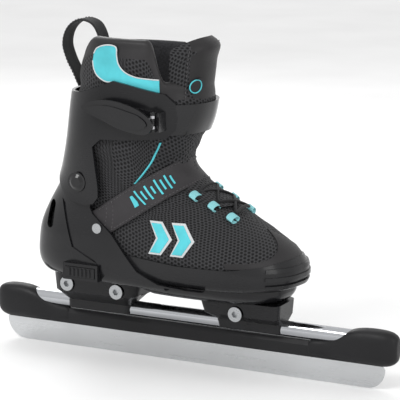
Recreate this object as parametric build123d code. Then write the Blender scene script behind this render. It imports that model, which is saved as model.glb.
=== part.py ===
from build123d import *
import math
import os

os.makedirs("parts", exist_ok=True)

# Adjustable ice skate, right foot.  X to the toe, Y to the inner side, Z up.
# Millimetres.  The running edge rests on Z = 0, the blade cover is centred on X = 0.

# Blade, tube and cover
blade_thick = 1.4
blade_rear = -180
blade_front = 176
blade_top = 37
tube_r = 6.5
tube_z = 40.2
tube_wall = 1.0
cover_half = 187.5
cover_bottom = 20.3
cover_mid_top = 33

# Boot layers, measured outward from the foam liner surface
foot_gap = -8
toe_shell_in = 0.3
toe_shell_out = 3.3
heel_shell_in = 3.6
heel_shell_out = 6.6
cuff_in = 7.2
cuff_out = 9.8
collar_out = 5.6
collar_top_out = 3.5

# Ankle pivot of the cuff
pivot_x = -83
pivot_z = 155
soft_r = 34
cuff_forward = 9
cuff_back = 3
fixed_edge = cuff_forward + 9.5
moving_edge = fixed_edge + cuff_forward + 1

# Size adjustment
toe_travel = 20
size_step = toe_travel / 3

# Boot body: height, front x, rear x, widest x, half width, front power, rear power
BOOT = [
    (78, 90, -122, 30, 37, 2.2, 3.0),
    (82, 96, -127, 30, 41.5, 2.3, 3.1),
    (89, 98.5, -130, 30, 43.5, 2.3, 3.2),
    (98, 95, -131, 28, 43.5, 2.2, 3.1),
    (109, 85, -130, 20, 42.5, 2.1, 3.0),
    (122, 65, -126, 6, 41, 2.0, 2.8),
    (136, 42, -119, -14, 39, 2.0, 2.6),
    (150, 16, -111, -36, 38, 2.0, 2.4),
    (166, -2, -105, -50, 37.5, 2.1, 2.3),
    (184, -2, -101, -51, 37.5, 2.2, 2.3),
    (206, 7, -98, -47, 37.5, 2.2, 2.3),
    (232, 13, -94, -42, 37, 2.2, 2.3),
    (260, 17, -90, -38, 35.5, 2.2, 2.3),
    (292, 21, -88, -34, 34, 2.2, 2.3),
]


def outline(z, front, rear, widest, half, front_power, rear_power, count=20):
    """Egg-shaped horizontal section of the boot, leaning to the inner side at the toes."""
    points = []
    for k in range(count):
        angle = 2 * math.pi * k / count
        c = math.cos(angle)
        s = math.sin(angle)
        power = front_power if c >= 0 else rear_power
        reach = front - widest if c >= 0 else rear - widest
        x = widest + reach * abs(c) ** (2 / power)
        y = math.copysign(half * abs(s) ** (2 / power), s)
        y += 5 * (max(x, 0) / 100) ** 2
        points.append(Vector(x, y, z))
    return Wire([Edge.make_spline(points, periodic=True)])


def boot(out):
    """Solid boot shape grown outward by the given distance."""
    wires = []
    for i, (z, front, rear, widest, half, fp, rp) in enumerate(BOOT):
        low = BOOT[max(i - 1, 0)]
        high = BOOT[min(i + 1, len(BOOT) - 1)]
        lean = (high[1] - low[1]) / (high[0] - low[0])
        grow = min(math.hypot(1, lean), 2.1) if z > 90 else 1
        level = z - out if z < 90 else z
        wires.append(outline(level, front + out * grow, rear - out, widest, half + out, fp, rp))
    return Solid.make_loft(wires)


def layer(outer, inner):
    return boot(outer) - boot(inner)


def side_block(points, y0=-90, y1=90):
    """Prism with a straight-sided side view, running along Y."""
    wire = Wire.make_polygon([Vector(x, y0, z) for x, z in points], close=True)
    return Solid.extrude(Face(wire), Vector(0, y1 - y0, 0))


def smooth_block(points, y0=-90, y1=90):
    """Prism with a rounded side view, running along Y."""
    edge = Edge.make_spline([Vector(x, y0, z) for x, z in points], periodic=True)
    return Solid.extrude(Face(Wire([edge])), Vector(0, y1 - y0, 0))


def y_rod(radius, x, z, y0, y1):
    """Round bar along Y."""
    return Solid.make_cylinder(radius, y1 - y0, Plane((x, y0, z), z_dir=(0, 1, 0)))


def x_rod(radius, y, z, x0, x1):
    """Round bar along X."""
    return Solid.make_cylinder(radius, x1 - x0, Plane((x0, y, z), z_dir=(1, 0, 0)))


def box(x0, x1, y0, y1, z0, z1):
    return Solid.make_box(x1 - x0, y1 - y0, z1 - z0, Plane((x0, y0, z0)))


def rounded_section(x0, x1, half, z, radius):
    shape = Pos((x0 + x1) / 2, 0, z) * RectangleRounded(x1 - x0, 2 * half, radius)
    return shape.faces()[0].outer_wire()


def tilt(shape, degrees):
    """Turn a shape about the ankle pivot; positive leans toward the toe."""
    return shape.rotate(Axis((pivot_x, 0, pivot_z), (0, 1, 0)), degrees)


def far(angle, reach):
    """Point seen from the pivot at an angle above the horizontal, toe side positive reach."""
    a = math.radians(angle)
    return (pivot_x + reach * math.cos(a), pivot_z + abs(reach) * math.sin(a))


made = {}


def save(name, *solids):
    """Write one named piece, as one solid or as a group of separate solids."""
    parts = []
    for item in solids:
        parts += list(item.solids())
    parts = [s for s in parts if s.volume > 1.0]
    shape = parts[0] if len(parts) == 1 else Compound(children=parts)
    shape.label = name
    made[name] = shape
    export_step(shape, f"parts/{name}.step")


# ---------------------------------------------------------------- running gear

blade_round = 18


def blade_outline():
    """Side view of the blade: straight running edge, round heel and raked round toe."""
    points = []
    for k in range(9):
        angle = math.radians(90 * k / 8)
        points.append((blade_rear + blade_round * (1 - math.cos(angle)), blade_round * (1 - math.sin(angle))))
    for k in range(9):
        angle = math.radians(90 * (8 - k) / 8)
        points.append((blade_front - 14 * (1 - math.cos(angle)), 16 * (1 - math.sin(angle))))
    return points + [(blade_front - 14, blade_top), (blade_rear + 14, blade_top)]


blade = side_block(blade_outline(), -blade_thick / 2, blade_thick / 2)

tube_x0 = -176
tube_x1 = 174
tube = x_rod(tube_r, 0, tube_z, tube_x0, tube_x1) - x_rod(tube_r - tube_wall, 0, tube_z, tube_x0, tube_x1)
tube -= box(tube_x0, tube_x1, -blade_thick / 2, blade_thick / 2, tube_z - tube_r - 1, blade_top)
tube_full = x_rod(tube_r, 0, tube_z, tube_x0, tube_x1)


def cover_bar():
    """Lower rail of the blade cover, with chamfered shoulders."""
    start = 12 - cover_half
    shoulder = cover_mid_top - 3.5
    profile = [(-5, cover_bottom), (5, cover_bottom), (5, shoulder), (3, cover_mid_top),
               (-3, cover_mid_top), (-5, shoulder)]
    wire = Wire.make_polygon([Vector(start, y, z) for y, z in profile], close=True)
    return Solid.extrude(Face(wire), Vector(-2 * start, 0, 0))


def oval_ring(x, half, low, high, power=2.6, count=20):
    """Closed oval across the blade at one place along it."""
    points = []
    for k in range(count):
        angle = 2 * math.pi * k / count
        c = math.cos(angle)
        s = math.sin(angle)
        y = math.copysign(half * abs(c) ** (2 / power), c)
        z = (low + high) / 2 + math.copysign((high - low) / 2 * abs(s) ** (2 / power), s)
        points.append(Vector(x, y, z))
    return Wire([Edge.make_spline(points, periodic=True)])


def end_cap(direction, length):
    """Bulbous end cap around the tube end, swept down toward the middle of the cover."""
    stations = [(0, 3, 28, 42), (1.5, 6.2, 23.8, 45.5), (6, 8.6, 20.8, 48), (18, 10, 19.5, 49.4),
                (0.42 * length, 9.8, 19.6, 48.6), (0.64 * length, 8.2, 20, 42), (0.82 * length, 6.4, 20.6, 36),
                (length, 4.4, 22, 31.5)]
    wires = [oval_ring(direction * (cover_half - inset), half, low, high) for inset, half, low, high in stations]
    return Solid.make_loft(wires)


cover = cover_bar().fuse(end_cap(-1, 72)).fuse(end_cap(1, 78))
cover = cover - tube_full - blade
save("blade", blade)
save("steel_tube", tube)
save("blade_cover", cover)

# ------------------------------------------------------------- towers and bolts

shell_floor = BOOT[0][0] - heel_shell_out
tray_under = 62
heel_bolts = [(-102, 63), (-54.5, 61)]
front_bolts = [(51, 52)]
heel_cheek = 30
front_cheek = 19
heel_lug = (-122, -42, 54, shell_floor)
front_lug = (30, 76, 47.2, tray_under)
lug_half = 7


def heel_tower():
    wires = [
        rounded_section(-114, -55, 9.2, 36.5, 4),
        rounded_section(-114, -54, 9.6, 44, 4),
        rounded_section(-116, -48, 21, 51, 8),
        rounded_section(-118, -41, 29, 56, 12),
        rounded_section(-121, -36, heel_cheek, shell_floor, 16),
    ]
    return Solid.make_loft(wires, True)


def front_tower():
    wires = [
        rounded_section(30, 86, 8.6, 36.5, 4),
        rounded_section(28, 87, 9, 44, 4),
        rounded_section(20, 88, 18, 50, 6),
        rounded_section(16, 89, front_cheek, tray_under, 7),
    ]
    return Solid.make_loft(wires, True)


def lug(limits):
    x0, x1, z0, z1 = limits
    return box(x0, x1, -lug_half, lug_half, z0, z1)


def drilled(shape, places):
    for x, z in places:
        shape = shape - y_rod(3, x, z, -30, 30)
    return shape


def bolt_seat(shape, places, cheek):
    """Flat round seats for the heads on both cheeks."""
    for x, z in places:
        shape = shape - y_rod(7, x, z, -40, -cheek + 3)
        shape = shape - y_rod(7, x, z, cheek - 3, 40)
    return shape


rear_foot = heel_tower() - lug(heel_lug) - tube_full - cover
rear_foot = bolt_seat(drilled(rear_foot, heel_bolts), heel_bolts, heel_cheek)
front_foot = front_tower() - lug(front_lug) - tube_full - cover
front_foot = bolt_seat(drilled(front_foot, front_bolts), front_bolts, front_cheek)
save("heel_tower", rear_foot)
save("front_tower", front_foot)


def hex_socket(x, y, z):
    corners = []
    for k in range(6):
        angle = math.radians(60 * k)
        corners.append(Vector(x + 2.9 * math.cos(angle), y, z + 2.9 * math.sin(angle)))
    return Solid.extrude(Face(Wire.make_polygon(corners, close=True)), Vector(0, 2.8, 0))


bolts = []
nuts = []
for places, cheek in ((heel_bolts, heel_cheek), (front_bolts, front_cheek)):
    seat = cheek - 3
    for x, z in places:
        head = y_rod(6.2, x, z, -seat - 4.2, -seat)
        shank = y_rod(2, x, z, -seat, 9)
        bolts.append(head + shank - hex_socket(x, -seat - 4.2, z))
        sleeve = y_rod(6.2, x, z, seat, seat + 2.6) + y_rod(3, x, z, -9, seat)
        nuts.append(sleeve - y_rod(2, x, z, -10, 9))
save("tower_bolts", *bolts)
save("barrel_nuts", *nuts)

# ------------------------------------------------------------------- heel shell

shell_side = side_block([
    (-170, 60), (-170, 143), (-128, 144), (-108, 149), (-98, 158), (-93, 164), (-83, 168),
    (-73, 164), (-70, 155), (-72, 134), (-69, 129), (-49, 114), (-36, 99), (-24, 86), (-5, 77),
    (20, 74.7), (92, 74.2), (102, 60),
])
tray_wires = [
    outline(tray_under, 84, -60, 30, 26, 2.4, 2.6),
    outline(66, 89, -70, 30, 33, 2.4, 2.6),
    outline(shell_floor + 0.5, 92, -84, 30, 38, 2.4, 2.6),
]
tray = Solid.make_loft(tray_wires) & side_block([(-34, 72), (-20, 61), (120, 61), (120, 72)])
vent_x = -116
vent_low = 115
vent_high = 130
button_x0 = -91
button_x1 = -63
button_z0 = 75.5
button_z1 = 84.5
housing_y = -51
pocket_y = -45.6
stem_x = -82
button_box = box(button_x0 - 2.5, button_x1 + 2.5, housing_y, -36, button_z0 - 2.5, button_z1 + 2.5)

shell = (layer(heel_shell_out, heel_shell_in) & shell_side) + tray + lug(heel_lug) + lug(front_lug)
shell = shell + (button_box - boot(heel_shell_in))
shell = shell - box(button_x0, button_x1, -56, pocket_y, button_z0, button_z1)
shell = shell - box(stem_x - 1.6, stem_x + 1.6, -56, -30, 76.2, 77.9)
shell = shell - rear_foot - front_foot
shell = drilled(shell, heel_bolts + front_bolts)
vent = y_rod(4, vent_x, vent_low, -70, 70) + y_rod(4, vent_x, vent_high, -70, 70)
vent = vent + box(vent_x - 4, vent_x + 4, -70, 70, vent_low, vent_high)
shell = shell - (vent - box(-200, 200, -16, 16, 0, 400))
groove = side_block([(-104, 138), (-89, 99), (-62, 88), (-77, 101), (-96, 132)])
shell = shell - (groove - boot(heel_shell_out - 1.3))
floor_trim = box(0, 130, -60, 60, 60, BOOT[0][0] - heel_shell_in + 0.2)
floor_edge = Solid.extrude(Face(outline(60, 92, -70, 30, 38, 2.3, 2.8)), Vector(0, 0, 20))
shell = shell - (floor_trim - floor_edge)
rivet_x = -63
rivet_z = 118
pin_r = 4
shell = shell - y_rod(pin_r, pivot_x, pivot_z, -70, 70)
shell = shell - y_rod(2, rivet_x, rivet_z, -70, 70)

# ------------------------------------------------------------------ sliding toe

floor_low = BOOT[0][0] - toe_shell_out
toe_side = side_block([
    (-58, 60), (-58, 86), (-44, 98), (-34, 98), (11, 94), (55, 94), (80, 97), (102, 102),
    (140, 104), (140, 60),
])
toe_shell = layer(toe_shell_out, toe_shell_in) & toe_side
ribs = []
for rib_z in (78, 85, 92):
    wire = outline(rib_z, 112, -20, 30, 52, 2.3, 3.2)
    band = Solid.extrude(Face(wire), Vector(0, 0, 3.4))
    ribs.append(band & box(84, 130, -60, 60, 60, 110))
toe_grow = boot(toe_shell_out + 1.2) - boot(toe_shell_out - 1)
for rib in ribs:
    toe_shell = toe_shell + (toe_grow & rib)
rack_x0 = -112
rack = box(rack_x0, -54, -37, -22, floor_low, floor_low + 3) + box(-66, -54, -30, 30, floor_low, floor_low + 3)
rack = rack - box(-107, -79, -31, -24, 60, 90)
rack = rack - box(rack_x0 - 1, -76, -40, -24, floor_low + 1.6, 90)
for notch in range(4):
    notch_x = stem_x - size_step * notch
    rack = rack - box(notch_x - 1.5, notch_x + 1.5, -34.2, -31, 60, 90)
rack = (rack - toe_shell) & boot(toe_shell_out - 0.1)
save("toe_shell", toe_shell)
save("size_rack", rack)

# ------------------------------------------------------------------------- cuff

cuff_side = side_block([
    (-180, 168), (-128, 167), (-117, 163), (-108, 150), (-99, 142), (-88, 137.5), (-76, 136),
    (-67, 138), (-62, 144), (-62, 153), (-67, 186), (-59, 193), (-35, 194), (-4, 196), (3, 203),
    (5, 213), (4, 225), (-3, 233), (-35, 240), (-47, 242),
    (-59, 237), (-80, 230), (-96, 228), (-180, 228),
])
cuff = layer(cuff_out, cuff_in) & cuff_side
blocked = (boot(heel_shell_out + 0.35) - box(-200, 200, -20, 20, 0, 400)) & shell_side
for step in (-cuff_forward, -cuff_forward / 2, 0, cuff_back):
    cuff = cuff - tilt(blocked, step)
cuff = cuff - y_rod(pin_r + 0.05, pivot_x, pivot_z, -80, 80)


def shell_face_y(x, z, out, sign):
    """Side position of the boot surface at a place in the side view."""
    probe = boot(out) & box(x - 0.5, x + 0.5, -90, 90, z - 0.5, z + 0.5)
    bound = probe.bounding_box()
    return bound.min.Y if sign < 0 else bound.max.Y


cuff_lat = shell_face_y(pivot_x, pivot_z, cuff_out, -1)
cuff_med = shell_face_y(pivot_x, pivot_z, cuff_out, 1)
liner_lat = shell_face_y(pivot_x, pivot_z, heel_shell_in, -1)
liner_med = shell_face_y(pivot_x, pivot_z, heel_shell_in, 1)

cuff = cuff - y_rod(8.7, pivot_x, pivot_z, -80, cuff_lat - 0.05)
cuff = cuff - y_rod(8.7, pivot_x, pivot_z, cuff_med + 0.05, 80)
cuff = max(cuff.solids(), key=lambda item: item.volume)
pivots = []
for sign, outer, inner in ((-1, cuff_lat, liner_lat), (1, cuff_med, liner_med)):
    lo, hi = sorted((outer + sign * 0.15, inner - sign * 0.6))
    shank = y_rod(pin_r, pivot_x, pivot_z, lo, hi)
    head_lo, head_hi = sorted((outer + sign * 0.15, outer + sign * 2.4))
    dome = Solid.make_cone(6.6, 4.2, 1.5, Plane((pivot_x, outer + sign * 2.4, pivot_z), z_dir=(0, sign, 0)))
    pivots.append(shank + y_rod(8.2, pivot_x, pivot_z, head_lo, head_hi) + dome)
shell = shell - pivots[0] - pivots[1]
save("heel_shell", shell)
save("cuff", cuff)
save("pivot_rivets", *pivots)

shell_rivets = []
for sign in (-1, 1):
    face = shell_face_y(rivet_x, rivet_z, heel_shell_out, sign)
    inside = shell_face_y(rivet_x, rivet_z, 0.6, sign)
    lo, hi = sorted((face + sign * 0.1, inside))
    head_lo, head_hi = sorted((face + sign * 0.1, face + sign * 1.6))
    head = y_rod(4.2, rivet_x, rivet_z, head_lo, head_hi) - shell
    shell_rivets.append(y_rod(1.9, rivet_x, rivet_z, lo, hi) + head)
save("shell_rivets", *shell_rivets)

# ------------------------------------------------------- foam liner and uppers

toe_line = [(-20, 60), (-20, 130), (20, 155), (40, 168), (140, 168), (140, 60)]
toe_gap = [(-20.4, 60), (-20.4, 130.3), (19.7, 155.4), (39.7, 168.4), (140, 169), (140, 60)]
tongue_side = side_block([(-8, 120), (-8, 248), (-22, 262), (-22, 300), (80, 300), (80, 120)], -31, 31)
tongue_hole = side_block([(-8.4, 119), (-8.4, 248), (-22.4, 262), (-22.4, 300), (80, 300), (80, 119)], -31.4, 31.4)
top_line = side_block([
    (-200, 246), (-100, 248), (-92, 256), (-82, 265), (-66, 270), (-50, 272), (-22, 270),
    (-19, 274), (-8, 277), (8, 277), (22, 267), (60, 266), (60, 320), (-200, 320),
])

below = side_block([
    (pivot_x, pivot_z), far(fixed_edge, 260), (180, -60), (-260, -60), far(-1, -170),
])
above = side_block([
    (pivot_x, pivot_z), far(moving_edge, 240), (140, 420), (-260, 420), far(5.5, -170),
])
fixed_zone = below + y_rod(soft_r, pivot_x, pivot_z, -90, 90)
moving_zone = above - y_rod(soft_r + 0.4, pivot_x, pivot_z, -90, 90)

foot_space = boot(foot_gap)
foam = boot(0) - foot_space
low_foam = foam & fixed_zone
low_foam = low_foam - side_block(toe_gap)
slide_zone = side_block([(-59, 60), (-59, 87), (-45, 98.5), (0, 98.5), (0, 60)])
low_foam = low_foam - (slide_zone - boot(0).moved(Location((toe_travel, 0, 0))))
instep_split = side_block([(-8, 124), (-8, 200), (60, 200), (60, 124)], -26, 26)
instep_gap = side_block([(-8.4, 123.6), (-8.4, 200), (60, 200), (60, 123.6)], -26.4, 26.4)
save("liner_lower", low_foam - instep_gap)
save("tongue_lower", low_foam & instep_split)

collar_low = box(-200, 100, -90, 90, 100, 226)
collar_high = box(-200, 100, -90, 90, 225, 320)
high_foam = (boot(collar_out) & collar_low) + (boot(collar_top_out) & collar_high)
high_foam = (high_foam - foot_space) & moving_zone
high_foam = high_foam - top_line
save("tongue_upper", high_foam & tongue_side)
save("liner_collar", high_foam - tongue_hole)

toe_zone = side_block(toe_line)
toe_upper = foam & toe_zone
cap_side = side_block([(46, 60), (46, 99), (58, 103), (64, 118), (72, 135), (140, 135), (140, 60)])
toe_cap = layer(1.3, 0.05) & cap_side
toe_cap = toe_cap - boot(toe_shell_out + 0.5) + (toe_cap - toe_side)
toe_cap = toe_cap - toe_shell
save("toe_upper", toe_upper)
save("toe_cap", max(toe_cap.solids(), key=lambda item: item.volume))

# footbed in two halves that part when the boot is lengthened
insole = (boot(foot_gap - 0.4) & box(-200, 200, -60, 60, 86.3, 89.5))
heel_half = box(-200, -20.4, -60, 60, 80, 95)
toe_half = box(-19.6, 200, -60, 60, 80, 95)
save("heel_footbed", insole & heel_half)
save("toe_footbed", insole & toe_half)

# ----------------------------------------------------------------- instep strap

strap_side = side_block([(-82.8, 125.4), (-67.2, 101.6), (43.8, 174.9), (28.2, 198.7)])
instep_strap = (layer(3.2, 0.5) & strap_side) - y_rod(2, rivet_x, rivet_z, -70, 70)
save("instep_strap", instep_strap)

# ------------------------------------------------------- collar trim, badge, loop

trim_points = [
    (-70, 263), (-60, 268), (-47, 269), (-46, 261), (-45, 255.5), (-39, 249), (-24.5, 245),
    (-10, 245), (-10, 233.5), (-24.5, 236), (-48.5, 243.5), (-59, 241), (-66, 246), (-70, 254),
]
trim = layer(collar_top_out + 1, collar_top_out + 0.05) & side_block(trim_points)
save("collar_trim", trim)

badge = (boot(collar_top_out + 1.4) - boot(collar_top_out + 0.05)) & x_rod(6.5, -16, 238, -20, 60)
save("tongue_badge", badge)


def ribbon(path, thick, y0, y1):
    """Flat webbing following a smooth side path."""
    spine = Edge.make_spline([Vector(x, 0, z) for x, z in path])
    count = 28
    left = []
    right = []
    for k in range(count + 1):
        place = spine.position_at(k / count)
        run = spine.tangent_at(k / count)
        left.append((place.X - run.Z * thick / 2, place.Z + run.X * thick / 2))
        right.append((place.X + run.Z * thick / 2, place.Z - run.X * thick / 2))
    return side_block(left + right[::-1], y0, y1)


loop_path = [(-101.6, 231), (-107, 240), (-113, 251), (-116.5, 264), (-112, 277), (-101, 284.5),
             (-89, 282), (-82.5, 271), (-81.5, 258), (-82.2, 247), (-82.6, 238)]
pull_loop = ribbon(loop_path, 2, -8, 8)
pull_loop = pull_loop - made["liner_collar"] - cuff
save("pull_loop", max(pull_loop.solids(), key=lambda item: item.volume))

# ------------------------------------------------------------ cuff strap and buckle

strap_low = 198.5
strap_high = 224
inner_band = layer(cuff_in - 0.2, collar_out + 0.1) & box(-30, 60, -60, 60, strap_low, strap_high)
outer_band = layer(cuff_out, collar_out + 0.1) & box(-3.4, 60, -60, 60, strap_low, strap_high)
cuff_rivets = []
rivet_holes = []
for z in (204, 217):
    face = shell_face_y(-16, z, cuff_out, 1)
    inside = shell_face_y(-16, z, collar_out + 0.6, 1)
    head = y_rod(3.6, -16, z, face + 0.1, face + 1.5) - cuff
    cuff_rivets.append(y_rod(1.9, -16, z, inside, face + 0.1) + head)
    rivet_holes.append(y_rod(2, -16, z, 20, 60))
cuff_strap = (inner_band + outer_band) - cuff
for hole in rivet_holes:
    cuff_strap = cuff_strap - hole
    cuff = cuff - hole
save("cuff", cuff)
save("cuff_strap", cuff_strap)
save("cuff_rivets", *cuff_rivets)

base_y = -49.2
lever_z = 212
hinge_x = -7.5
hinge_y = -51.6
base_side = side_block([(-62, 213), (-58, 226), (-3, 219), (-3, 203.5), (-30, 203.5)], base_y, -30)
base = base_side - boot(cuff_out + 0.02)
ear_y = hinge_y - 1.9
for z in (lever_z - 8, lever_z + 5.5):
    base = base + Solid.make_cylinder(1.9, 2.5, Plane((hinge_x, hinge_y, z)))
    base = base + box(hinge_x - 1.9, hinge_x + 1.9, hinge_y, base_y, z, z + 2.5)
pin = Solid.make_cylinder(1.2, 16, Plane((hinge_x, hinge_y, lever_z - 8)))
base = base - Solid.make_cylinder(1.2, 20, Plane((hinge_x, hinge_y, lever_z - 10)))
save("buckle_base", base)
save("lever_pin", pin)
springs = []
for z in (lever_z - 5.3, lever_z + 3.2):
    ring = Solid.make_cylinder(1.9, 2.1, Plane((hinge_x, hinge_y, z)))
    springs.append(ring - Solid.make_cylinder(1.2, 2.1, Plane((hinge_x, hinge_y, z))))
save("lever_springs", *springs)

lever_view = [(-70, 222), (-59, 226.5), (-43, 227.5), (-27, 224.5), (-12, 218), (-5.5, 210), (-9, 203.5),
              (-21, 202), (-38, 205.5), (-56, 212.5)]
inner_view = [(-65, 221), (-44, 223), (-27, 219.5), (-14, 214.5), (-10.5, 210), (-15, 206.5),
              (-30, 207.5), (-50, 213.5)]
lever_in = ear_y - 0.4
lever = smooth_block(lever_view, lever_in - 2.4, lever_in)
lever = lever + box(hinge_x - 2, hinge_x + 2, lever_in - 1, hinge_y, lever_z - 2.9, lever_z + 2.9)
lever = lever + Solid.make_cylinder(2, 5.8, Plane((hinge_x, hinge_y, lever_z - 2.9)))
lever = lever - Solid.make_cylinder(1.25, 30, Plane((hinge_x, hinge_y, lever_z - 15)))
save("buckle_lever", lever)
save("lever_inlay", smooth_block(inner_view, lever_in - 3.6, lever_in - 2.4))

# ---------------------------------------------------------------- size button

button = box(button_x0 + 0.3, button_x1 - 0.3, housing_y - 0.8, housing_y + 1.8, button_z0 + 0.3, button_z1 - 0.3)
for k in range(6):
    rib_x = button_x0 + 3.4 + 3.8 * k
    button = button + box(rib_x, rib_x + 1.6, housing_y - 1.6, housing_y, button_z0 + 1.2, button_z1 - 1.2)
button = button + box(stem_x - 1.2, stem_x + 1.2, housing_y + 1, -28.6, 76.5, 77.6)
button = button + box(stem_x - 1.2, stem_x + 1.2, -30.8, -28.6, 75.1, 77.6)
save("size_button", button)
coils = []
for x in (-74, -68.5):
    outer_coil = y_rod(2.2, x, 80.4, housing_y + 1.8, pocket_y)
    coils.append(outer_coil - y_rod(1.5, x, 80.4, housing_y + 1.8, pocket_y))
save("button_springs", *coils)

# ---------------------------------------------------------------- lace and loops


def top_z(x, y, out):
    """Height of the boot surface above a place in plan."""
    probe = boot(out) & box(x - 0.4, x + 0.4, y - 0.4, y + 0.4, 100, 190)
    return probe.bounding_box().max.Z


lace_x = [16, 32, 48]
lace_y = 21
loops = []
stops = []
for row, x in enumerate(lace_x):
    for side in (-1, 1):
        y = side * (lace_y - 2 * row)
        z = top_z(x, y, 0)
        block = box(x - 4, x + 4, y - 5, y + 5, z - 6, z + 3.4) - boot(0.35)
        loops.append(block)
        stops.append((x, y, z + 4.9))
order = [0, 3, 4, 5, 2, 1]
path = []
for here, there in zip(order, order[1:] + order[:1]):
    a = Vector(*stops[here])
    b = Vector(*stops[there])
    path.append(a)
    mid = (a + b) * 0.5
    if abs(a.Y - b.Y) > 10:
        path.append(Vector(mid.X, 0, max(mid.Z, top_z(mid.X, 0, 0) + 3.4)))
lace = None
for a, b in zip(path, path[1:] + path[:1]):
    run = b - a
    if run.length < 0.5:
        continue
    piece = Solid.make_cylinder(1.4, run.length, Plane(a, z_dir=run))
    piece = piece + Solid.make_sphere(1.4, Plane(a), -90, 90, 360)
    lace = piece if lace is None else lace + piece
strap_guard = side_block([(-84, 125.6), (-67.4, 101), (44.6, 174.3), (28, 200.5)])
lace = lace - strap_guard
save("lace_loops", *[(item - strap_guard) - lace for item in loops])
save("lace", max(lace.solids(), key=lambda item: item.volume))

print(len(made), "pieces")
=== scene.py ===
import math

import bmesh
import bpy
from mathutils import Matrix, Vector, noise


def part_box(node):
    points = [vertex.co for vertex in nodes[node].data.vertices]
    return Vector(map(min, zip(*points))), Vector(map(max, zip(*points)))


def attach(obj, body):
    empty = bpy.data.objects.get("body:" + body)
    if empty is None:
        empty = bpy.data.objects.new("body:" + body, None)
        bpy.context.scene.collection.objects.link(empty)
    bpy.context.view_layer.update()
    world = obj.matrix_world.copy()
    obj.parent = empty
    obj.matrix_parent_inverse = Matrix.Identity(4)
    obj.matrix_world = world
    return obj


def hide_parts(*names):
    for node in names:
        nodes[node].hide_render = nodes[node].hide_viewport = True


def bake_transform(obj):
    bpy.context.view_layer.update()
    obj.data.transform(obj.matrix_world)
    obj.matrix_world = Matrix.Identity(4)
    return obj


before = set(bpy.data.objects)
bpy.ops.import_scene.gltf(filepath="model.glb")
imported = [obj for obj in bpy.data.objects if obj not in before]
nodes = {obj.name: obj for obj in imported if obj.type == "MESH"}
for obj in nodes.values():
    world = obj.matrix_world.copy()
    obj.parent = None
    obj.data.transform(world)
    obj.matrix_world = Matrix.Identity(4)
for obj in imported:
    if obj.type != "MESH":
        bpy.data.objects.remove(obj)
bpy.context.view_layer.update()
MM = 0.001
noise.seed_set(7)

# Boot sections in millimetres, as in the part: height, front x, rear x, widest x, half width, powers
BOOT = [
    (78, 90, -122, 30, 37, 2.2, 3.0), (82, 96, -127, 30, 41.5, 2.3, 3.1),
    (89, 98.5, -130, 30, 43.5, 2.3, 3.2), (98, 95, -131, 28, 43.5, 2.2, 3.1),
    (109, 85, -130, 20, 42.5, 2.1, 3.0), (122, 65, -126, 6, 41, 2.0, 2.8),
    (136, 42, -119, -14, 39, 2.0, 2.6), (150, 16, -111, -36, 38, 2.0, 2.4),
    (166, -2, -105, -50, 37.5, 2.1, 2.3), (184, -2, -101, -51, 37.5, 2.2, 2.3),
    (206, 7, -98, -47, 37.5, 2.2, 2.3), (232, 13, -94, -42, 37, 2.2, 2.3),
    (260, 17, -90, -38, 35.5, 2.2, 2.3), (292, 21, -88, -34, 34, 2.2, 2.3),
]
BLACK = (0.009, 0.009, 0.010)
TEAL = (0.085, 0.50, 0.56)
PALE_TEAL = (0.25, 0.60, 0.64)
SIDES = ((-1, "outer"), (1, "inner"))
STRAP_SLOPE = 0.66
STRAP_LEVEL = 163
STRAP_HALF = 14.2
COLLAR_LEVEL = 236


# ------------------------------------------------------------------ boot surface

def smooth_step(a, b, x):
    """Smooth rise from 0 at a to 1 at b."""
    t = min(max((x - a) / (b - a), 0.0), 1.0)
    return t * t * (3 - 2 * t)


def running_lengths(points):
    """Distance from the first point to each point along a row."""
    runs = [0.0]
    for p, q in zip(points, points[1:]):
        runs.append(runs[-1] + (q - p).length)
    return runs


def rounded_path(points, steps):
    """Smooth curve through points, with a number of steps to each stretch."""
    fine = []
    for i in range(len(points) - 1):
        before, here = points[max(i - 1, 0)], points[i]
        there, after = points[i + 1], points[min(i + 2, len(points) - 1)]
        for k in range(steps):
            t = k / steps
            fine.append(0.5 * ((2 * here) + (there - before) * t
                               + (2 * before - 5 * here + 4 * there - after) * t * t
                               + (3 * here - before - 3 * there + after) * t ** 3))
    fine.append(points[-1])
    return fine


def section(z):
    """Section values at a height, by a cubic through the neighbouring sections."""
    z = min(max(z, BOOT[0][0]), BOOT[-1][0])
    i = 0
    while i < len(BOOT) - 2 and z > BOOT[i + 1][0]:
        i += 1
    low, high = BOOT[i], BOOT[i + 1]
    before = BOOT[i - 1] if i > 0 else low
    after = BOOT[i + 2] if i + 2 < len(BOOT) else high
    span = high[0] - low[0]
    t = (z - low[0]) / span
    values = []
    for k in range(1, 7):
        start = (high[k] - before[k]) / (high[0] - before[0]) * span
        end = (after[k] - low[k]) / (after[0] - low[0]) * span
        values.append((2 * t**3 - 3 * t**2 + 1) * low[k] + (t**3 - 2 * t**2 + t) * start
                      + (3 * t**2 - 2 * t**3) * high[k] + (t**3 - t**2) * end)
    return values


def boot_point(z, angle, out=0.0):
    """Point on the boot in millimetres; angle 0 is the toe, -90 the outer side, in degrees."""
    front, rear, widest, half, front_power, rear_power = section(z)
    lean = (section(z + 4)[0] - section(z - 4)[0]) / 8
    grow = min(math.hypot(1, lean), 2.1) if z > 90 else 1
    a = math.radians(angle)
    c, s = math.cos(a), math.sin(a)
    power = front_power if c >= 0 else rear_power
    reach = front + out * grow - widest if c >= 0 else rear - out - widest
    x = widest + reach * abs(c) ** (2 / power)
    y = math.copysign((half + out) * abs(s) ** (2 / power), s) + 5 * (max(x, 0) / 100) ** 2
    return Vector((x, y, z))


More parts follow.
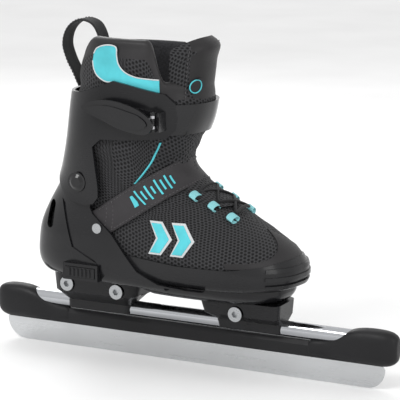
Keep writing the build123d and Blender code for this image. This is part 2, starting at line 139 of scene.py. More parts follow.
def even_angles(z, first, last, count):
    """Angles that split one stretch of a section into equal lengths."""
    samples = 240
    fine = [first + (last - first) * k / samples for k in range(samples + 1)]
    runs = running_lengths([boot_point(z, a) for a in fine])
    result = []
    j = 0
    for k in range(count + 1):
        want = runs[-1] * k / count
        while j < samples - 1 and runs[j + 1] < want:
            j += 1
        step = runs[j + 1] - runs[j]
        result.append(fine[j] + (fine[j + 1] - fine[j]) * ((want - runs[j]) / step if step else 0))
    return result


def front_angle(z, y, out=0.0):
    """Angle of the front point with the given side position."""
    low, high = -90.0, 90.0
    for _ in range(30):
        mid = (low + high) / 2
        if boot_point(z, mid, out).y < y:
            low = mid
        else:
            high = mid
    return (low + high) / 2


def side_point(x, z, out, side=-1):
    """Boot surface point with the given side-view place."""
    low, high = 0.5, 179.5
    for _ in range(30):
        mid = (low + high) / 2
        if boot_point(z, side * mid, out).x > x:
            low = mid
        else:
            high = mid
    return boot_point(z, side * (low + high) / 2, out)


def slant_point(angle, level, slope, out):
    """Boot surface point on the plane z = level + slope * x at the given angle."""
    low, high = 84.0, 215.0
    for _ in range(26):
        mid = (low + high) / 2
        if mid - level - slope * boot_point(mid, angle, out).x < 0:
            low = mid
        else:
            high = mid
    return boot_point((low + high) / 2, angle, out)


# -------------------------------------------------------------------- mesh makers

def add_piece(name, data, body):
    """Object for a mesh or curve, with its body unless it is blended."""
    obj = bpy.data.objects.new(name, data)
    bpy.context.scene.collection.objects.link(obj)
    if body:
        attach(obj, body)
    return obj


def across_row(row, wrap):
    """Lengths across a row, from its middle, or from its widest points where it wraps the boot."""
    runs = running_lengths(row)
    if not wrap:
        middle = runs[-1] / 2
        return [r - middle for r in runs]
    half = len(row) // 2
    outer = min(range(half), key=lambda c: row[c].y)
    inner = max(range(half, len(row)), key=lambda c: row[c].y)
    outer_side = [row[outer].x + runs[c] - runs[outer] for c in range(half)]
    inner_side = [row[inner].x - runs[c] + runs[inner] for c in range(half, len(row))]
    return outer_side + inner_side


def up_rows(rows, wrap):
    """Lengths up the rows: one value to each row, or one to each column where it wraps the boot."""
    if wrap:
        columns = [running_lengths(column) for column in zip(*rows)]
        return list(zip(*columns))
    count = len(rows[0])
    along = [0.0]
    for a, b in zip(rows, rows[1:]):
        along.append(along[-1] + sum((q - p).length for p, q in zip(a, b)) / count)
    return [[length] * count for length in along]


def grid(name, rows, body, material, thick=0.0, closed=False, material_of=None, wrap=False):
    """Grid mesh in metres from rows of millimetre points, with lengths as texture coordinates."""
    count = len(rows[0])
    verts = [p * MM for row in rows for p in row]
    across = [across_row(row, wrap) for row in rows]
    tall = up_rows(rows, wrap)
    faces = []
    uvs = []
    last = count if closed else count - 1
    for i in range(len(rows) - 1):
        for j in range(last):
            k = (j + 1) % count
            faces.append((i * count + j, i * count + k, (i + 1) * count + k, (i + 1) * count + j))
            wide = [across[i][j], across[i][k], across[i + 1][k], across[i + 1][j]]
            if k == 0 and not wrap:
                wide[1] = across[i][j] + (rows[i][0] - rows[i][j]).length
                wide[2] = across[i + 1][j] + (rows[i + 1][0] - rows[i + 1][j]).length
            uvs += zip(wide, (tall[i][j], tall[i][k], tall[i + 1][k], tall[i + 1][j]))
    mesh = bpy.data.meshes.new(name)
    mesh.from_pydata(verts, [], faces)
    layer = mesh.uv_layers.new(name="cloth")
    for item, uv in zip(layer.data, uvs):
        item.uv = uv
    for m in material if isinstance(material, list) else [material]:
        mesh.materials.append(m)
    if material_of:
        for polygon in mesh.polygons:
            polygon.material_index = material_of(polygon.center / MM)
    mesh.polygons.foreach_set("use_smooth", [True] * len(mesh.polygons))
    obj = add_piece(name, mesh, body)
    if thick:
        solid = obj.modifiers.new("thickness", "SOLIDIFY")
        solid.thickness = thick * MM
        solid.offset = 0
        solid.use_even_offset = True
        bevel = obj.modifiers.new("soft edge", "BEVEL")
        bevel.width = thick * 0.3 * MM
        bevel.segments = 3
        bevel.limit_method = "ANGLE"
        bevel.angle_limit = math.radians(50)
    return obj


def surface_normal(z, angle, out):
    """Outward direction of the boot surface."""
    around = boot_point(z, angle + 0.5, out) - boot_point(z, angle - 0.5, out)
    up = boot_point(z + 0.5, angle, out) - boot_point(z - 0.5, angle, out)
    return around.cross(up).normalized()


def tube(name, points, radius, body, material, cyclic=False):
    """Round cord along millimetre points."""
    curve = bpy.data.curves.new(name, "CURVE")
    curve.dimensions = "3D"
    curve.bevel_depth = radius * MM
    curve.bevel_resolution = 4
    curve.use_fill_caps = True
    spline = curve.splines.new("NURBS")
    spline.points.add(len(points) - 1)
    for place, p in zip(spline.points, points):
        place.co = (*(p * MM), 1)
    spline.order_u = 3
    spline.use_endpoint_u = not cyclic
    spline.use_cyclic_u = cyclic
    curve.materials.append(material)
    return add_piece(name, curve, body)


def walk(points, pitch):
    """Places and directions at equal steps along a polyline."""
    result = []
    left = pitch / 2
    for p, q in zip(points, points[1:]):
        run = (q - p).length
        while left < run:
            result.append((p.lerp(q, left / run), (q - p).normalized()))
            left += pitch
        left -= run
    return result


def stitches(name, points, body, material, length=2.2, pitch=3.4, width=0.45):
    """Row of short thread stitches along millimetre points."""
    around = 6
    ring = [(-0.5, 0.25), (-0.3, 0.9), (0, 1.0), (0.3, 0.9), (0.5, 0.25)]
    end = around * (len(ring) - 1)
    verts, faces = [], []
    for place, run in walk(points, pitch):
        side = run.cross(Vector((0, 0, 1)))
        side = side.normalized() if side.length > 0.1 else Vector((1, 0, 0))
        lift = side.cross(run).normalized()
        base = len(verts)
        for t, swell in ring:
            for k in range(around):
                a = 2 * math.pi * k / around
                offset = (side * math.cos(a) + lift * math.sin(a)) * width * swell
                verts.append((place + run * length * t + offset) * MM)
        for i in range(len(ring) - 1):
            low = base + around * i
            high = low + around
            for k in range(around):
                n = (k + 1) % around
                faces.append((low + k, low + n, high + n, high + k))
        faces.append(tuple(base + k for k in reversed(range(around))))
        faces.append(tuple(base + end + k for k in range(around)))
    mesh = bpy.data.meshes.new(name)
    mesh.from_pydata(verts, [], faces)
    mesh.materials.append(material)
    mesh.polygons.foreach_set("use_smooth", [True] * len(mesh.polygons))
    add_piece(name, mesh, body)


# ---------------------------------------------------------------------- materials

class Nodes:
    """Small helper that builds one procedural material."""

    def __init__(self, name, colour, rough, metal=0.0, coat=0.0, sheen=0.0):
        self.material = bpy.data.materials.new(name)
        self.material.use_nodes = True
        self.tree = self.material.node_tree
        self.shader = self.tree.nodes["Principled BSDF"]
        self.shader.inputs["Base Color"].default_value = (*colour, 1)
        self.shader.inputs["Roughness"].default_value = rough
        self.shader.inputs["Metallic"].default_value = metal
        self.shader.inputs["Coat Weight"].default_value = coat
        self.shader.inputs["Coat Roughness"].default_value = 0.12
        self.shader.inputs["Sheen Weight"].default_value = sheen
        if not metal:
            self.shader.inputs["Specular IOR Level"].default_value = 0.2
        self.height = None

    def add(self, kind, **values):
        node = self.tree.nodes.new(kind)
        for key, value in values.items():
            if key in node.inputs:
                node.inputs[key].default_value = value
            else:
                setattr(node, key, value)
        return node

    def link(self, a, b):
        self.tree.links.new(a, b)

    def math(self, operation, a, b=None):
        node = self.add("ShaderNodeMath", operation=operation)
        for i, value in enumerate((a, b)):
            if value is None:
                continue
            if isinstance(value, (int, float)):
                node.inputs[i].default_value = value
            else:
                self.link(value, node.inputs[i])
        return node.outputs[0]

    def coords(self, uv=False):
        kind = "UV" if uv else "Object"
        return self.add("ShaderNodeTexCoord").outputs[kind]

    def noise(self, scale, detail=4, stretch=(1, 1, 1), uv=False, rough=0.5):
        mapping = self.add("ShaderNodeMapping")
        mapping.inputs["Scale"].default_value = stretch
        self.link(self.coords(uv), mapping.inputs["Vector"])
        node = self.add("ShaderNodeTexNoise", Scale=scale, Detail=detail, Roughness=rough)
        self.link(mapping.outputs[0], node.inputs["Vector"])
        return node.outputs[0]

    def ramp(self, value, stops, socket):
        node = self.add("ShaderNodeValToRGB")
        while len(node.color_ramp.elements) < len(stops):
            node.color_ramp.elements.new(0.5)
        for element, (place, colour) in zip(node.color_ramp.elements, stops):
            element.position = place
            element.color = (*colour, 1) if len(colour) == 3 else (colour[0],) * 3 + (1,)
        self.link(value, node.inputs[0])
        self.link(node.outputs[0], self.shader.inputs[socket])

    def bump(self, value, strength, distance):
        node = self.add("ShaderNodeBump", Strength=strength, Distance=distance)
        self.link(value, node.inputs["Height"])
        if self.height:
            self.link(self.height, node.inputs["Normal"])
        self.height = node.outputs[0]
        self.link(self.height, self.shader.inputs["Normal"])

    def waves(self, directions, pitch):
        """Sum of cosines along directions in cloth coordinates; pitch in millimetres."""
        split = self.add("ShaderNodeSeparateXYZ")
        self.link(self.coords(True), split.inputs[0])
        total = None
        for dx, dy in directions:
            phase = self.math("ADD", self.math("MULTIPLY", split.outputs[0], dx * 2 * math.pi / pitch),
                              self.math("MULTIPLY", split.outputs[1], dy * 2 * math.pi / pitch))
            wave = self.math("COSINE", phase)
            total = wave if total is None else self.math("ADD", total, wave)
        return total


HEXAGON = [(math.cos(math.radians(a)), math.sin(math.radians(a))) for a in (0, 60, 120)]


def mesh_fabric(name, colour, pitch=3.1):
    """Spacer mesh: a honeycomb of small dark holes in knitted yarn."""
    m = Nodes(name, colour, 0.75, sheen=0.04)
    cells = m.waves(HEXAGON, pitch)
    yarn = m.noise(2.2, 3, uv=True)
    light = tuple(c * 2.6 + 0.006 for c in colour)
    m.ramp(m.math("ADD", m.math("MULTIPLY", cells, -0.2), 0.45),
           [(0.0, tuple(c * 0.25 for c in colour)), (0.35, colour), (0.75, light)], "Base Color")
    m.ramp(yarn, [(0.3, (0.62,)), (0.7, (0.85,))], "Roughness")
    m.bump(m.math("MULTIPLY", cells, -0.3), 0.9, 0.0007)
    m.bump(yarn, 0.25, 0.0003)
    return m.material


def coated_fabric(name, colour, rough=0.42):
    """Smooth coated synthetic with a fine leather-like grain."""
    m = Nodes(name, colour, rough, sheen=0.02)
    grain = m.noise(900, 4)
    cloud = m.noise(40, 3)
    m.ramp(cloud, [(0.3, tuple(c * 0.8 for c in colour)), (0.75, tuple(c * 1.25 + 0.002 for c in colour))],
           "Base Color")
    m.ramp(grain, [(0.3, (rough - 0.08,)), (0.7, (rough + 0.14,))], "Roughness")
    m.bump(grain, 0.22, 0.0003)
    return m.material


def webbing(name, colour, pitch=1.5):
    """Tightly woven tape."""
    m = Nodes(name, colour, 0.7, sheen=0.05)
    ribs = m.waves([(1, 0)], pitch)
    picks = m.waves([(0, 1)], pitch * 0.8)
    weave = m.math("MULTIPLY", ribs, picks)
    m.ramp(m.math("ADD", m.math("MULTIPLY", weave, 0.4), 0.5),
           [(0.1, tuple(c * 0.4 for c in colour)), (0.9, tuple(c * 2.2 + 0.004 for c in colour))],
           "Base Color")
    m.bump(weave, 0.7, 0.0004)
    return m.material


def lining(name, colour):
    """Brushed inner lining."""
    m = Nodes(name, colour, 0.9, sheen=0.06)
    fluff = m.noise(700, 5)
    m.ramp(fluff, [(0.3, tuple(c * 0.6 for c in colour)), (0.7, tuple(c * 1.6 for c in colour))],
           "Base Color")
    m.bump(fluff, 0.5, 0.0005)
    return m.material


def plastic(name, colour, rough=0.22, coat=0.3, grain=0.08):
    """Moulded plastic with faint flow, grain and handling marks."""
    m = Nodes(name, colour, rough, coat=coat)
    flow = m.noise(22, 3)
    fine = m.noise(1500, 3)
    scuff = m.noise(160, 6, (1, 1, 6), rough=0.7)
    mixed = m.math("ADD", m.math("MULTIPLY", flow, 0.6), m.math("MULTIPLY", scuff, 0.4))
    m.ramp(mixed, [(0.35, (rough * 0.8,)), (0.7, (rough * 1.35 + 0.03,))], "Roughness")
    m.ramp(flow, [(0.3, tuple(c * 0.85 for c in colour)), (0.7, tuple(c * 1.15 for c in colour))],
           "Base Color")
    m.bump(fine, grain, 0.0002)
    m.bump(flow, 0.05, 0.002)
    return m.material


def steel(name, colour, rough, stretch, scale=300, strength=0.12):
    """Ground or polished steel with drawn marks along one direction."""
    m = Nodes(name, colour, rough, metal=1.0)
    marks = m.noise(scale, 6, stretch, rough=0.65)
    cloud = m.noise(14, 3)
    m.ramp(marks, [(0.3, (rough * 0.7,)), (0.75, (rough * 1.5,))], "Roughness")
    m.ramp(cloud, [(0.3, tuple(c * 0.88 for c in colour)), (0.7, colour)], "Base Color")
    m.bump(marks, strength, 0.0002)
    return m.material


def thread(name, colour):
    """Twisted thread or narrow ribbon."""
    m = Nodes(name, colour, 0.6, sheen=0.03)
    twist = m.noise(1800, 2, (1, 1, 3))
    m.ramp(twist, [(0.3, tuple(c * 0.75 for c in colour)), (0.7, colour)], "Base Color")
    m.bump(twist, 0.4, 0.0002)
    return m.material


MAT = {
    "mesh": mesh_fabric("boot_mesh", (0.014, 0.014, 0.015)),
    "smooth": coated_fabric("smooth_synthetic", (0.022, 0.021, 0.022)),
    "strap": coated_fabric("strap_synthetic", (0.030, 0.028, 0.030), 0.5),
    "teal": coated_fabric("teal_fabric", TEAL, 0.5),
    "pale_teal": thread("pale_teal_ribbon", PALE_TEAL),
    "white": thread("white_thread", (0.62, 0.64, 0.65)),
    "black_thread": thread("black_thread", (0.075, 0.072, 0.075)),
    "webbing": webbing("black_webbing", (0.014, 0.014, 0.015)),
    "lining": lining("inner_lining", (0.022, 0.022, 0.024)),
    "shell": plastic("gloss_shell", BLACK, 0.2, 0.16),
    "cuff": plastic("gloss_cuff", BLACK, 0.22, 0.16),
    "toe": plastic("satin_toe_shell", (0.011, 0.011, 0.012), 0.26, 0.16, 0.15),
    "frame": plastic("tower_plastic", (0.010, 0.010, 0.011), 0.28, 0.12),
    "cover": plastic("cover_plastic", (0.012, 0.012, 0.013), 0.42, 0.0, 0.3),
    "buckle": plastic("buckle_plastic", (0.010, 0.010, 0.011), 0.16, 0.3),
    "button": plastic("button_plastic", (0.014, 0.014, 0.015), 0.35, 0.05),
    "rack": plastic("rack_plastic", (0.2, 0.2, 0.21), 0.4, 0.0),
    "rubber": plastic("badge_rubber", (0.02, 0.02, 0.022), 0.5, 0.0, 0.3),
    "blade": steel("ground_blade_steel", (0.60, 0.61, 0.62), 0.3, (0.04, 1, 1), 400),
    "chrome": steel("polished_tube", (0.46, 0.47, 0.49), 0.12, (0.05, 1, 1), 200, 0.04),
    "zinc": steel("bright_zinc", (0.40, 0.41, 0.42), 0.28, (1, 1, 1), 500, 0.1),
    "spring": steel("spring_steel", (0.55, 0.55, 0.57), 0.3, (1, 1, 1), 500),
}

HARD = {
    "blade": "blade", "steel_tube": "chrome", "blade_cover": "cover", "heel_tower": "frame",
    "front_tower": "frame", "tower_bolts": "zinc", "barrel_nuts": "zinc", "heel_shell": "shell",
    "pivot_rivets": "buckle", "shell_rivets": "zinc", "button_springs": "spring", "cuff": "cuff",
    "cuff_strap": "buckle", "cuff_rivets": "zinc", "buckle_base": "buckle", "lever_pin": "spring",
    "lever_springs": "spring", "buckle_lever": "buckle", "lever_inlay": "buckle", "toe_shell": "toe",
    "size_rack": "rack", "size_button": "button", "tongue_badge": "rubber",
}
for node_name, key in HARD.items():
    node = nodes[node_name]
    if not node.material_slots:
        node.data.materials.append(MAT[key])
    for material_slot in node.material_slots:
        material_slot.material = MAT[key]


# ------------------------------------------------------------------- padded liner

def padding(z):
    """Outward fullness of the foam liner at a height."""
    under_cuff = smooth_step(172, 186, z) * (1 - smooth_step(222, 234, z))
    above = smooth_step(222, 240, z)
    low = 1.3 * smooth_step(126, 150, z)
    return 0.3 + low + 3.6 * under_cuff + 1.4 * above


def collar_top(p):
    """Height of the collar rim over a place on the boot; the inner side is lower."""
    x = p.x
    inner = 9 * smooth_step(4, 26, p.y)
    rise = smooth_step(-100, -76, x)
    dip = smooth_step(-26, -6, x)
    return 246 + (24 - inner) * rise - (34 - inner) * dip


def liner_out(z, top):
    """How far the liner stands out at a height, with the swell of the collar under its rim."""
    return padding(z) + 2.2 * math.sin(math.pi * smooth_step(top - 30, top + 6, z))


def make_liner():
    """Padded boot from its foot over the rolled rim and down the inside."""
    columns = 120
    levels = 56
    rim_steps = 9
    rim_half = 5.2
    inside_levels = 19
    liner_foot = 84
    inside_foot = 90
    angles = even_angles(200, -180, 180, columns)[:-1]
    rows = []
    for i in range(levels + 1):
        row = []
        for a in angles:
            top = collar_top(boot_point(COLLAR_LEVEL, a))
            z = liner_foot + (top - liner_foot) * i / levels
            full = liner_out(z, top)
            p = boot_point(z, a, full)
            n = surface_normal(z, a, full)
            row.append(p + n * 0.5 * noise.noise(p * 0.045))
        rows.append(row)
    for k in range(1, rim_steps):
        turn = math.pi * k / rim_steps
        rise = Vector((0, 0, rim_half * math.sin(turn)))
        row = []
        for a in angles:
            top = collar_top(boot_point(COLLAR_LEVEL, a))
            centre = liner_out(top, top) - rim_half
            row.append(boot_point(top, a, centre + rim_half * math.cos(turn)) + rise)
        rows.append(row)
    for i in range(inside_levels + 1):
        row = []
        for a in angles:
            top = collar_top(boot_point(COLLAR_LEVEL, a))
            z = top + (inside_foot - top) * i / inside_levels
            row.append(boot_point(z, a, -7.4 - 0.6 * smooth_step(0, 1, i / 4)))
        rows.append(row)
    liner = grid("boot_liner", rows, None, [MAT["mesh"], MAT["lining"], MAT["smooth"]],
                 closed=True, wrap=True)
    lining_start = (levels + 5) * columns
    rim_start = (levels - 3) * columns
    for index, polygon in enumerate(liner.data.polygons):
        polygon.material_index = 1 if index >= lining_start else (2 if index >= rim_start else 0)
    cut_liner_toe(liner)
    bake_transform(liner)
    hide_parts("liner_lower", "liner_collar")


def cut_liner_toe(liner):
    """Open the liner in front, where the vamp of the sliding toe takes over."""
    rear = -22
    level = 128
    slope = 0.62
    shape = bmesh.new()
    shape.from_mesh(liner.data)
    ahead = []
    for face in shape.faces:
        spot = face.calc_center_median() / MM
        if spot.x > rear and spot.z < level + slope * spot.x:
            ahead.append(face)
    bmesh.ops.delete(shape, geom=ahead, context="FACES")
    shape.to_mesh(liner.data)
    shape.free()


TONGUE_FOOT = 140
TONGUE_TOP = 277
TONGUE_TUCK = 2.6


def tongue_out(z, y):
    """How far the tongue stands out from the boot shape."""
    lip = 3.2 * smooth_step(255, 277, z)
    under_strap = 2.4 * smooth_step(185, 198, z) * (1 - smooth_step(226, 238, z))
    return TONGUE_TUCK + under_strap + lip + 1.6 * (1 - (y / 30) ** 2)


def make_tongue():
    """Padded tongue in two faces, tucked into the boot at its sides and foot."""
    outer, inner = [], []
    wide = 20
    tall = 52
    height = TONGUE_TOP - TONGUE_FOOT
    corner_drop = 9
    for i in range(tall + 1):
        t = i / tall
        row_out, row_in = [], []
        for j in range(wide + 1):
            s = 2 * j / wide - 1
            half = 24 + 5 * smooth_step(170, 240, TONGUE_FOOT + height * t)
            y = half * s
            z = TONGUE_FOOT + (height - corner_drop * abs(s) ** 3) * t
            a = front_angle(z, y)
            side_puff = math.sqrt(max(1 - abs(s) ** 6, 0.0))
            puff = side_puff * math.sqrt(max(1 - smooth_step(0.9, 1.0, t) ** 2, 0.0))
            p = boot_point(z, a, -TONGUE_TUCK + (tongue_out(z, y) + TONGUE_TUCK) * puff)
            n = surface_normal(z, a, 0)
            row_out.append(p + n * 0.5 * noise.noise(p * 0.06 + Vector((3, 1, 7))))
            row_in.append(boot_point(z, a, -2.8 - 4.6 * puff))
        outer.append(row_out)
        inner.append(row_in)
    front = grid("tongue_front", outer, None, [MAT["mesh"], MAT["smooth"]],
                 material_of=lambda c: 1 if c.z > 226 and abs(c.y) < 21 else 0)
    back = grid("tongue_back", [row[::-1] for row in inner], None, MAT["lining"])
    for piece in (front, back):
        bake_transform(piece)
    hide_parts("tongue_upper", "tongue_lower")
    for side, tag in SIDES:
        y = 22 * side
        line = [boot_point(z, front_angle(z, y), tongue_out(z, y) + 0.3) for z in range(228, 273, 2)]
        stitches("tongue_stitches_" + tag, line, "cuff", MAT["black_thread"])


def make_ankle_piping():
    """Teal piping line below the cuff on both sides."""
    line = [(-10.5, 192), (-13, 186), (-17, 179), (-22, 171), (-27, 163), (-33, 155)]
    ribbon = ((-0.9, 0), (-0.6, 0.7), (0, 1), (0.6, 0.7), (0.9, 0))
    for side, tag in SIDES:
        rows = []
        for (x, z), (next_x, next_z) in zip(line, line[1:]):
            for k in range(4):
                px = x + (next_x - x) * k / 4
                pz = z + (next_z - z) * k / 4
                rows.append([side_point(px + dx, pz, padding(pz) - 0.2 + lift, side)
                             for dx, lift in ribbon])
        if side < 0:
            rows = rows[::-1]
        piping = grid("ankle_piping_" + tag, rows, None, MAT["teal"])
        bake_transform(piping)


def make_badge_ring():
    """Plain oval ring in teal on the tongue badge."""
    middle_y, middle_z = -16, 238
    half_wide, half_tall = 4.2, 5.4
    points = 24
    ring = []
    for k in range(points):
        turn = 2 * math.pi * k / points
        y = middle_y + half_wide * math.cos(turn)
        z = middle_z + half_tall * math.sin(turn)
        ring.append(boot_point(z, front_angle(z, y), max(tongue_out(z, y), 4.9) + 0.5))
    tube("badge_ring", ring, 0.55, "cuff", MAT["teal"], cyclic=True)


make_liner()
make_tongue()
make_badge_ring()
make_ankle_piping()


# ------------------------------------------------------------------------- vamp

def make_vamp():
    """Mesh upper of the toe body; its rear tucks under the strap and heel shell."""
    columns = 110
    levels = 45
    foot = 92
    rim_level = 157
    reach = 122
    out = 0.8
    rows = []
    angles = even_angles(110, -reach, reach, columns)
    tops = [slant_point(a, rim_level, STRAP_SLOPE, out).z for a in angles]
    for i in range(levels + 1):
        row = []
        for a, top in zip(angles, tops):
            z = foot + (top - foot) * (i / levels)
            p = boot_point(z, a, out)
            n = surface_normal(z, a, out)
            crease = 0.5 * noise.noise(Vector((p.x * 0.05, p.y * 0.03, p.z * 0.1)))
            row.append(p + n * crease)
        rows.append(row)
    vamp = grid("mesh_vamp", rows, "toe", MAT["mesh"], thick=1.2, wrap=True)
    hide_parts("toe_upper")


def make_toe_cap():
    """Coated cap over the front of the vamp, highest at the toe."""
    columns = 70
    levels = 25
    reach = 72
    foot = 95
    rows = []
    for i in range(levels + 1):
        row = []
        for j in range(columns + 1):
            a = -reach + 2 * reach * j / columns
            top = 99.5 + 22 * (1 - abs(a) / reach) ** 3
            row.append(boot_point(foot + (top - foot) * (i / levels), a, 1.9))
        rows.append(row)
    cap = grid("toe_cap_skin", rows, "toe", MAT["smooth"], thick=1.0)
    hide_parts("toe_cap")
    edge = [p + Vector((-1.2, 0, -0.2)) for p in rows[-1]]
    stitches("toe_cap_stitches", edge, "toe", MAT["black_thread"], 1.8, 2.8, 0.4)


make_vamp()
make_toe_cap()


# ------------------------------------------------------------------- instep strap

def strap_place(angle, across, out):
    """Point on the instep strap; across runs from -1 at the toe edge to 1 at the ankle edge."""
    return slant_point(angle, STRAP_LEVEL + across * STRAP_HALF, STRAP_SLOPE, out)


def make_strap():
    """Instep strap with stitched edges, a stitched end and plain bars of changing height."""
    rows = []
    for j in range(15):
        w = 2 * j / 14 - 1
        row = []
        for a in even_angles(140, -128, 128, 90):
            bulge = 0.5 * (1 - w * w)
            row.append(strap_place(a, w, 3.0 + bulge))
        rows.append(row)
    strap = grid("instep_strap_band", rows, "skate", MAT["strap"], thick=1.8)
    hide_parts("instep_strap")
    for w, tag in ((-0.84, "toe_edge"), (0.84, "ankle_edge")):
        line = [strap_place(a, w, 4.15) for a in range(-112, 113, 2)]
        stitches("strap_stitches_" + tag, line, "skate", MAT["black_thread"])
    for place in (-109, -105):
        line = [strap_place(place + 3 * w / 10, w / 10, 4.2) for w in range(-8, 9)]
        stitches(f"strap_stitches_end_{-place}", line, "skate", MAT["black_thread"])
    for k, tall in enumerate((0.42, 0.62, 0.36, 0.56, 0.3, 0.6, 0.4, 0.54, 0.34)):
        a = -92 + 6.6 * k
        piece_rows = []
        for w in (-tall, -tall / 3, tall / 3, tall):
            piece_rows.append([strap_place(a + d + 3 * w, w, 4.75) for d in (0, 1.2, 2.4)])
        grid(f"strap_mark_{k}", piece_rows, "skate", MAT["teal"], thick=0.5)


make_strap()


# --------------------------------------------------------------- collar and loop

def make_collar_trim():
    """Teal accent panel on both sides of the collar, with white piping."""
    upper = [(-70, 262), (-66, 267), (-56, 270), (-47, 269), (-46, 262), (-44, 255), (-38, 249),
             (-28, 245.5), (-17, 244.5), (-9, 244)]
    lower = [(-71, 256), (-69.5, 250), (-66, 245), (-60, 241.5), (-54, 240), (-47, 240.5), (-38, 238.5),
             (-28, 236), (-17, 234), (-9, 232.5)]
    for side, tag in SIDES:
        drop = 9 if side > 0 else 0
        rows = []
        for k in range(7):
            row = []
            for (x, z), (low_x, low_z) in zip(upper, lower):
                z -= drop * smooth_step(246, 262, z)
                low_z -= drop * smooth_step(246, 262, low_z)
                level = z + (low_z - z) * (k / 6)
                row.append(side_point(x + (low_x - x) * (k / 6), level, padding(level) + 2.4, side))
            rows.append(row)
        if side > 0:
            rows = rows[::-1]
        dense = [rounded_path(row, 5) for row in rows]
        trim = grid("collar_accent_" + tag, dense, "cuff", MAT["teal"], thick=1.0)
        if side < 0:
            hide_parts("collar_trim")
        for row, edge in ((dense[0], "a"), (dense[-1], "b")):
            tube(f"accent_piping_{tag}_{edge}", [p + Vector((0, side * 0.5, 0)) for p in row], 0.55, "cuff",
                 MAT["white"])


def make_pull_loop():
    """Webbing loop at the heel, sewn to the liner at both ends."""
    path = [(-101.6, 229), (-107, 240), (-113, 251), (-116.5, 264), (-112, 277), (-101, 284.5),
            (-89, 282), (-82.5, 271), (-81.5, 258), (-82.2, 247), (-82.6, 238)]
    fine = rounded_path([Vector((x, 0, z)) for x, z in path], 7)[:-1]
    rows = []
    for k, p in enumerate(fine):
        sway = 0.6 * math.sin(k * 0.16)
        rows.append([p + Vector((0.15 * abs(j), 2.0 * j + sway, 0)) for j in range(-4, 5)])
    loop = grid("pull_loop_webbing", rows, "cuff", MAT["webbing"], thick=1.7)
    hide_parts("pull_loop")
    for offset, tag in ((-6.4, "left"), (6.4, "right")):
        line = [p + Vector((0, offset, 0)) for p in fine[2:-2]]
        shifted = []
        for a, b in zip(line, line[1:]):
            run = (b - a).normalized()
            shifted.append(a + Vector((-run.z, 0, run.x)))
        stitches("loop_stitches_" + tag, shifted, "cuff", MAT["black_thread"], 2.0, 3.0, 0.35)


make_collar_trim()
make_pull_loop()


# --------------------------------------------------------------------- lacing

LACE_X = (16, 32, 48)


def loop_spot(row, side, out):
    """Place of one lace loop on the vamp."""
    x = LACE_X[row]
    y = side * (21 - 2 * row)
    low, high = 100.0, 168.0
    for _ in range(30):
        mid = (low + high) / 2
        if boot_point(mid, front_angle(mid, y, out), out).x > x:
            low = mid
        else:
            high = mid
    z = (low + high) / 2
    return boot_point(z, front_angle(z, y, out), out)


def make_lacing():
    """Six webbing loops and the lace that runs through them."""
    spots = {}
    first = None
    for row in range(len(LACE_X)):
        for side, tag in SIDES:
            base = loop_spot(row, side, 1.2)
            eye = loop_spot(row, side, 4.4)
            inner = eye + Vector((0.8, -side * 3.5, 0.6))
            spots[row, side] = inner
            rows = []
            centre = base.lerp(eye, 0.5)
            out_dir = (eye - base).normalized()
            in_dir = Vector((0.2, -side, 0.1)).normalized()
            along = Vector((0.82, 0, -0.5))
            for k in range(13):
                turn = 2 * math.pi * k / 12
                p = centre + out_dir * 2.4 * math.sin(turn) + in_dir * (5.2 * math.cos(turn) - 0.5)
                rows.append([p + along * d for d in (-3.2, -1.6, 0, 1.6, 3.2)])
            loop = grid(f"lace_loop_{row}_{tag}", rows, "toe", MAT["pale_teal"], thick=0.7)
            first = first or loop
    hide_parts("lace_loops")
    order = [(0, -1), (1, 1), (2, -1), (2, 1), (1, -1), (0, 1)]
    path = []
    for here, there in zip(order, order[1:] + order[:1]):
        a, b = spots[here], spots[there]
        path.append(a)
        if abs(a.y - b.y) > 10:
            for t in (0.3, 0.7):
                p = a.lerp(b, t)
                path.append(p + Vector((0, 0, 3.2)))
    lace = tube("lace_line", path, 1.25, "toe", MAT["webbing"], cyclic=True)
    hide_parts("lace")


make_lacing()


# ----------------------------------------------------------------- side appliqué

def chevron(name, x, z, grow, side, material, out, thick):
    """Forward-pointing arrow band that lies on the side of the vamp."""
    corners = [(-7 - grow, -12 - grow), (2 + grow * 0.6, -12 - grow), (10 + grow * 1.6, 0),
               (2 + grow * 0.6, 12 + grow), (-7 - grow, 12 + grow), (-grow * 1.2, 0)]
    rows = []
    bands = ((corners[0], corners[1]), (corners[5], corners[2]), (corners[4], corners[3]))
    for (left, right), (next_left, next_right) in zip(bands, bands[1:]):
        for k in range(6 if (left, right) == bands[0] else 7):
            t = k / 6
            a = (left[0] + (next_left[0] - left[0]) * t, left[1] + (next_left[1] - left[1]) * t)
            b = (right[0] + (next_right[0] - right[0]) * t, right[1] + (next_right[1] - right[1]) * t)
            row = [side_point(x + a[0] + (b[0] - a[0]) * n / 6, z + a[1] + (b[1] - a[1]) * n / 6, out, side)
                   for n in range(7)]
            rows.append(row if side < 0 else row[::-1])
    grid(name, rows, "toe", material, thick=thick)


def make_patch():
    """Two arrow-shaped appliqués on each side: a white edge and a teal face."""
    for side, tag in SIDES:
        for k, x in enumerate((-7, 13)):
            chevron(f"patch_edge_{tag}_{k}", x, 115, 1.7, side, MAT["white"], 1.9, 0.7)
            chevron(f"patch_face_{tag}_{k}", x, 115, 0, side, MAT["teal"], 2.4, 0.8)


make_patch()


# ------------------------------------------------------------------- footbeds

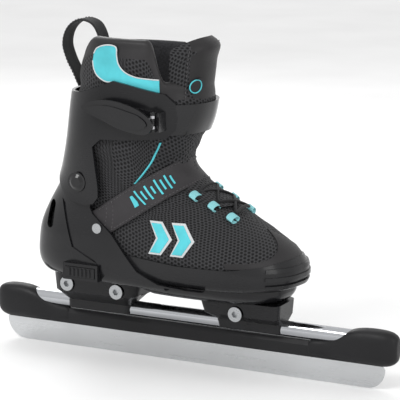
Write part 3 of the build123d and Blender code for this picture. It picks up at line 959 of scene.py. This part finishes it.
def make_footbed(name, start, end, body, node):
    """Half insole, dished a little across the foot, inside the walls of the liner."""
    level = 88
    inside = -8.6
    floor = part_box(node)[1].z / MM - 1.0
    rows = []
    for i in range(25):
        x = start + (end - start) * i / 24
        row = []
        spot = side_point(x, level, inside, -1)
        other = side_point(x, level, inside, 1)
        for j in range(13):
            t = j / 12
            y = spot.y + (other.y - spot.y) * t
            dish = 1.0 * (2 * t - 1) ** 2
            row.append(Vector((x, y, floor + dish)))
        rows.append(row)
    bed = grid(name, rows, body, MAT["lining"], thick=1.6)
    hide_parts(node)


make_footbed("heel_insole", -112, -21, "skate", "heel_footbed")
make_footbed("toe_insole", -19, 82, "toe", "toe_footbed")


def make_button_coils():
    """Wound return springs between the shell pocket and the size button."""
    coil_radius = 1.9
    wire = 0.24
    turns = 4
    steps = 24
    shell_end = -45.9
    length = 3.0
    height = 80.4
    first = None
    for x, tag in ((-74, "rear"), (-68.5, "front")):
        rows = []
        for k in range(turns * steps + 1):
            turn = 2 * math.pi * k / steps
            away = Vector((math.cos(turn), 0, math.sin(turn)))
            place = Vector((x, shell_end - length * k / (turns * steps), height)) + away * coil_radius
            rows.append([place + away * wire * math.cos(a) + Vector((0, wire * math.sin(a), 0))
                         for a in (math.pi * n / 4 for n in range(8))])
        coil = grid("button_coil_" + tag, rows, None, MAT["spring"], closed=True)
        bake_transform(coil)
        first = first or coil
    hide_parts("button_springs")


make_button_coils()


# --------------------------------------------------------------- camera and light

def make_stage():
    """Pale paper floor under a white sky."""
    bpy.ops.mesh.primitive_plane_add(size=6, location=(0, 0, -0.0006))
    floor = bpy.context.object
    floor.name = "studio_floor"
    paper = Nodes("pale_paper", (0.86, 0.86, 0.86), 0.8)
    paper.ramp(paper.noise(6, 2), [(0.3, (0.84, 0.84, 0.84)), (0.7, (0.88, 0.88, 0.88))], "Base Color")
    floor.data.materials.append(paper.material)
    world = bpy.data.worlds.new("studio")
    bpy.context.scene.world = world
    world.use_nodes = True
    world.node_tree.nodes["Background"].inputs["Color"].default_value = (1, 1, 1, 1)
    world.node_tree.nodes["Background"].inputs["Strength"].default_value = 0.95


def area_light(name, place, target, size, power):
    """Soft rectangular light that faces its target."""
    light = bpy.data.lights.new(name, "AREA")
    light.shape = "RECTANGLE"
    light.size, light.size_y = size
    light.energy = power
    obj = bpy.data.objects.new(name, light)
    bpy.context.scene.collection.objects.link(obj)
    obj.location = place
    obj.rotation_euler = (Vector(target) - Vector(place)).to_track_quat("-Z", "Y").to_euler()


def make_camera():
    """Long lens at the photograph's angle, 12 degrees above the ice."""
    look_down = 11.96
    turn = 27
    camera = bpy.data.cameras.new("camera")
    camera.lens = 184.6
    camera.sensor_width = 36
    obj = bpy.data.objects.new("camera", camera)
    bpy.context.scene.collection.objects.link(obj)
    obj.location = (0.763, -1.480, 0.492)
    obj.rotation_euler = (math.radians(90 - look_down), 0, math.radians(turn))
    bpy.context.scene.camera = obj


make_stage()
bpy.context.scene.view_settings.view_transform = "Standard"
area_light("key", (-0.5, -1.1, 1.3), (0, 0, 0.12), (0.7, 0.4), 10)
area_light("fill", (1.3, -0.7, 0.7), (0, 0, 0.12), (0.5, 0.9), 4)
area_light("rim", (-0.9, 0.9, 0.9), (0, 0, 0.15), (0.7, 0.7), 6)
make_camera()
